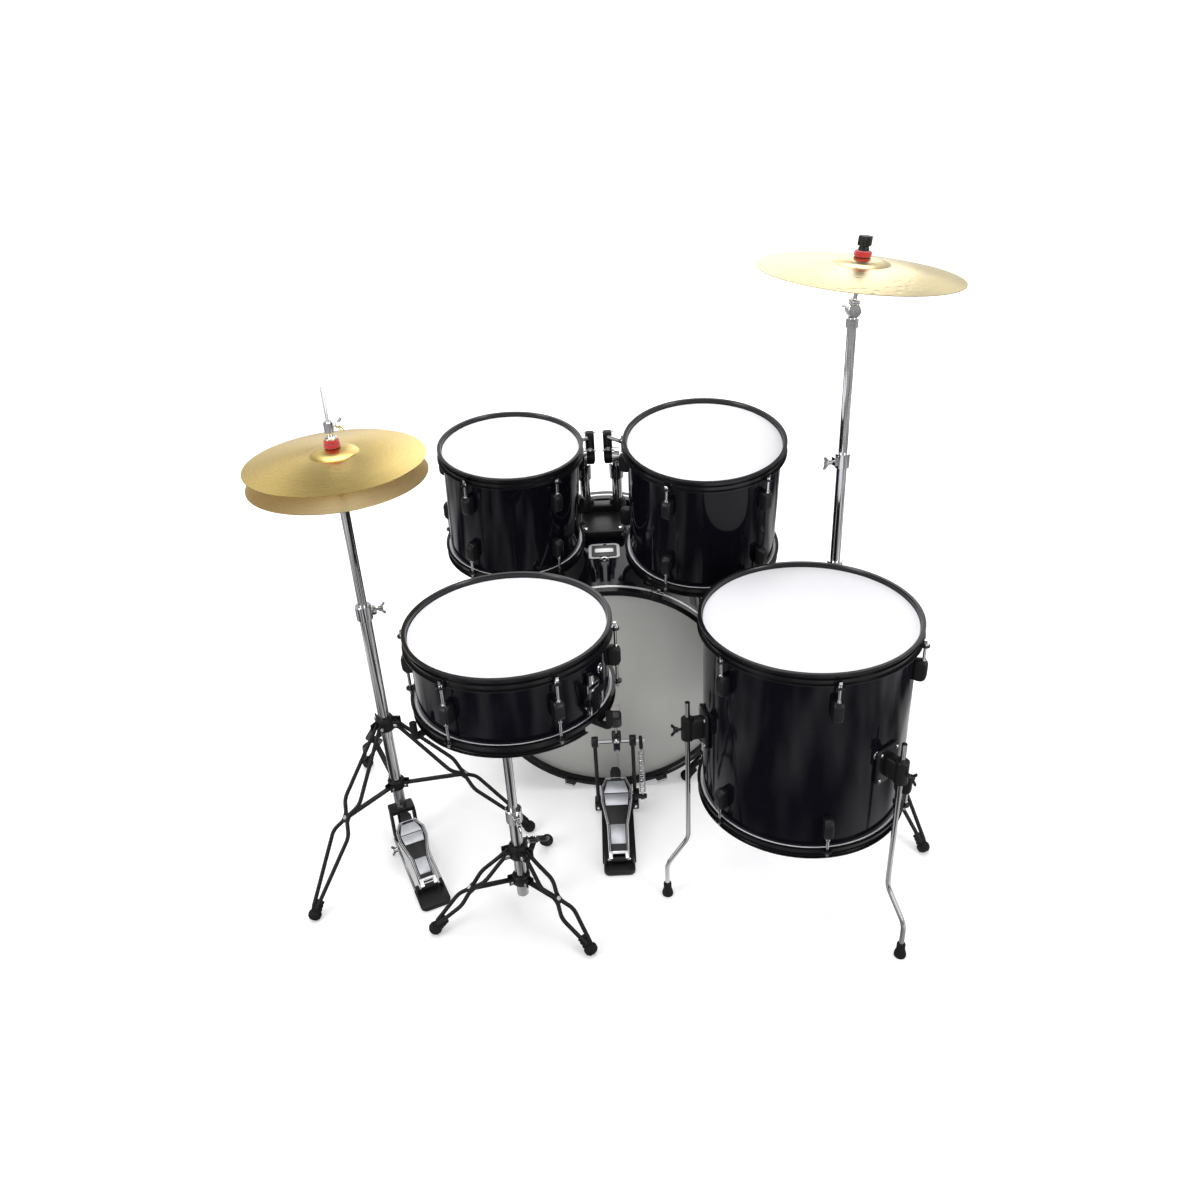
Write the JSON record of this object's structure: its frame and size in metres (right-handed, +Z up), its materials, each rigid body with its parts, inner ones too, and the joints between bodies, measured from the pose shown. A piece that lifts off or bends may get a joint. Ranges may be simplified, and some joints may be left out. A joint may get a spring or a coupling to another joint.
{
  "type": "drum kit",
  "caption": "Acoustic drum kit in black: bass drum with kick pedal, two rack toms, floor tom, snare on its stand, hi-hat stand and a crash cymbal on its stand.",
  "frame": {"origin": "on the floor, under the lowest front edge of the bass drum's hoop, midway across the drum", "axes": "+X to the player's right, +Y away from the player along the bass drum, +Z up"},
  "size_m": [1.4236, 1.1837, 1.3129],
  "materials": {
    "shell_wrap": "glossy black wrap",
    "bass_head": "coated film",
    "bass_hoop": "black lacquer with a silver inlay line",
    "black_casting": "satin black",
    "black_steel": "gloss black hoop",
    "leg_black": "matt black, textured",
    "chrome_part": "polished",
    "coated_head": "white coated film",
    "crash_bronze": "pale hammered bronze",
    "hat_bronze": "lathed bronze",
    "pedal_black": "black with silver panels",
    "beater_mixed": "chrome shaft, grey felt beater",
    "spring_steel": "coiled wire"
  },
  "bodies": {
    "kit_base": {"bass_drum_shell": "shell_wrap", "bass_drum_heads": "bass_head", "bass_drum_hoops": "bass_hoop", "bass_drum_lugs": "black_casting", "bass_drum_claws": "black_casting", "tom_holder": "black_casting", "spur_brackets": "black_casting", "floor_tom_shell": "shell_wrap", "floor_tom_heads": "coated_head", "floor_tom_hoops": "black_steel", "floor_tom_lugs": "black_casting", "floor_tom_rods": "chrome_part", "floor_tom_brackets": "black_casting", "snare_stand_base": "leg_black", "hihat_base": "leg_black", "crash_stand_base": "leg_black", "kick_frame": "leg_black", "kick_spring": "spring_steel"},
    "left_spur": {"left_spur": "chrome_part"},
    "right_spur": {"right_spur": "chrome_part"},
    "left_tom_tube": {"left_tom_tube": "chrome_part"},
    "left_tom_arm": {"left_tom_arm": "black_casting"},
    "left_tom": {"left_tom_shell": "shell_wrap", "left_tom_heads": "coated_head", "left_tom_hoops": "black_steel", "left_tom_lugs": "black_casting", "left_tom_rods": "chrome_part", "left_tom_bracket": "black_casting"},
    "right_tom_tube": {"right_tom_tube": "chrome_part"},
    "right_tom_arm": {"right_tom_arm": "black_casting"},
    "right_tom": {"right_tom_shell": "shell_wrap", "right_tom_heads": "coated_head", "right_tom_hoops": "black_steel", "right_tom_lugs": "black_casting", "right_tom_rods": "chrome_part", "right_tom_bracket": "black_casting"},
    "floor_tom_leg_1": {"floor_tom_leg_1": "chrome_part"},
    "floor_tom_leg_2": {"floor_tom_leg_2": "chrome_part"},
    "floor_tom_leg_3": {"floor_tom_leg_3": "chrome_part"},
    "snare_stand_tube": {"snare_stand_tube": "chrome_part"},
    "snare_basket": {"snare_basket": "leg_black"},
    "snare_drum": {"snare_shell": "shell_wrap", "snare_heads": "coated_head", "snare_hoops": "black_steel", "snare_lugs": "black_casting", "snare_rods": "chrome_part", "snare_wires": "spring_steel", "snare_strainer": "chrome_part"},
    "snare_lever": {"snare_lever": "chrome_part"},
    "hihat_tube": {"hihat_tube": "chrome_part", "hihat_bottom_cymbal": "hat_bronze"},
    "hihat_rod": {"hihat_rod": "chrome_part", "hihat_top_cymbal": "hat_bronze"},
    "hihat_footboard": {"hihat_footboard": "pedal_black"},
    "crash_middle_tube": {"crash_stand_middle_tube": "chrome_part"},
    "crash_top_tube": {"crash_stand_top_tube": "chrome_part"},
    "crash_tilter": {"crash_tilter": "chrome_part"},
    "crash_cymbal": {"crash_cymbal": "crash_bronze"},
    "kick_footboard": {"kick_footboard": "pedal_black"},
    "kick_beater": {"kick_beater": "beater_mixed"}
  },
  "joints": [
    {"name": "right_spur_fold", "type": "hinge", "parent": "kit_base", "child": "right_spur", "pos_m": [0.2994, 0.3534, 0.32156], "axis": [0.9135, -0.0248, 0.406], "range_deg": [0, 62]},
    {"name": "left_spur_fold", "type": "hinge", "parent": "kit_base", "child": "left_spur", "pos_m": [-0.2994, 0.3534, 0.32156], "axis": [0.9135, 0.0248, -0.406], "range_deg": [0, 62]},
    {"name": "left_tom_height", "type": "slide", "parent": "kit_base", "child": "left_tom_tube", "axis": [0, -0.061, 0.9981], "range_m": [0, 0.06]},
    {"name": "left_tom_tilt", "type": "hinge", "parent": "left_tom_tube", "child": "left_tom_arm", "pos_m": [-0.04, 0.33397, 0.77], "axis": [1, 0, 0], "range_deg": [-18, 0]},
    {"name": "left_tom_swing", "type": "hinge", "parent": "left_tom_arm", "child": "left_tom", "pos_m": [-0.08916, 0.27534, 0.82], "axis": [0.0459, -0.124, 0.9912], "range_deg": [0, 10]},
    {"name": "right_tom_height", "type": "slide", "parent": "kit_base", "child": "right_tom_tube", "axis": [0, -0.061, 0.9981], "range_m": [0, 0.06]},
    {"name": "right_tom_tilt", "type": "hinge", "parent": "right_tom_tube", "child": "right_tom_arm", "pos_m": [0.04, 0.33397, 0.77], "axis": [1, 0, 0], "range_deg": [-18, 0]},
    {"name": "right_tom_swing", "type": "hinge", "parent": "right_tom_arm", "child": "right_tom", "pos_m": [0.12291, 0.21343, 0.82], "axis": [0.0082, -0.1803, 0.9836], "range_deg": [-10, 10]},
    {"name": "floor_tom_leg_1_height", "type": "slide", "parent": "kit_base", "child": "floor_tom_leg_1", "axis": [0, 0, 1], "range_m": [0, 0.12]},
    {"name": "floor_tom_leg_2_height", "type": "slide", "parent": "kit_base", "child": "floor_tom_leg_2", "axis": [0, 0, 1], "range_m": [0, 0.12]},
    {"name": "floor_tom_leg_3_height", "type": "slide", "parent": "kit_base", "child": "floor_tom_leg_3", "axis": [0, 0, 1], "range_m": [0, 0.12]},
    {"name": "snare_stand_height", "type": "slide", "parent": "kit_base", "child": "snare_stand_tube", "axis": [0, 0, 1], "range_m": [0, 0.08]},
    {"name": "snare_basket_tilt", "type": "hinge", "parent": "snare_stand_tube", "child": "snare_basket", "pos_m": [-0.2124, -0.3843, 0.5453], "axis": [0, 1, 0], "range_deg": [-6.5, 6.5]},
    {"name": "snare_lift", "type": "slide", "parent": "snare_basket", "child": "snare_drum", "axis": [0, 0, 1], "range_m": [0, 0.05]},
    {"name": "snare_throw_off", "type": "hinge", "parent": "snare_drum", "child": "snare_lever", "pos_m": [-0.0292, -0.55081, 0.6594], "axis": [0.6157, 0.788, 0], "range_deg": [0, 80]},
    {"name": "hihat_height", "type": "slide", "parent": "kit_base", "child": "hihat_tube", "axis": [0, 0, 1], "range_m": [0, 0.08]},
    {"name": "hihat_close", "type": "slide", "parent": "hihat_tube", "child": "hihat_rod", "axis": [0, 0, -1], "range_m": [0, 0.0335], "stiffness_N_per_m": 400, "springref_m": -0.04},
    {"name": "hihat_pedal", "type": "hinge", "parent": "kit_base", "child": "hihat_footboard", "pos_m": [-0.42897, -0.32477, 0.02], "axis": [-0.9135, -0.4067, 0], "range_deg": [0, 10.2]},
    {"name": "crash_middle_height", "type": "slide", "parent": "kit_base", "child": "crash_middle_tube", "axis": [0, 0, 1], "range_m": [0, 0.1]},
    {"name": "crash_top_height", "type": "slide", "parent": "crash_middle_tube", "child": "crash_top_tube", "axis": [0, 0, 1], "range_m": [0, 0.1]},
    {"name": "crash_tilt", "type": "hinge", "parent": "crash_top_tube", "child": "crash_tilter", "pos_m": [0.5209, 0.0243, 1.17], "axis": [0, 1, 0], "range_deg": [-30, 20]},
    {"name": "crash_spin", "type": "hinge", "parent": "crash_tilter", "child": "crash_cymbal", "pos_m": [0.5209, 0.0243, 1.17], "axis": [0.1045, 0, 0.9945], "continuous": true},
    {"name": "kick_pedal", "type": "hinge", "parent": "kit_base", "child": "kick_footboard", "pos_m": [0, -0.272, 0.02], "axis": [-1, 0, 0], "range_deg": [0, 5.3]},
    {"name": "kick_beater_swing", "type": "hinge", "parent": "kit_base", "child": "kick_beater", "pos_m": [0, -0.072, 0.204], "axis": [-1, 0, 0], "range_deg": [0, 44.5], "stiffness_Nm_per_rad": 1, "springref_deg": -28.65, "deforming": ["kick_spring"]}
  ],
  "couplings": [
    {"joint": "hihat_close", "follows": "hihat_pedal", "m_per_rad": 0.18818},
    {"joint": "kick_beater_swing", "follows": "kick_pedal", "ratio": 8.3962}
  ]
}
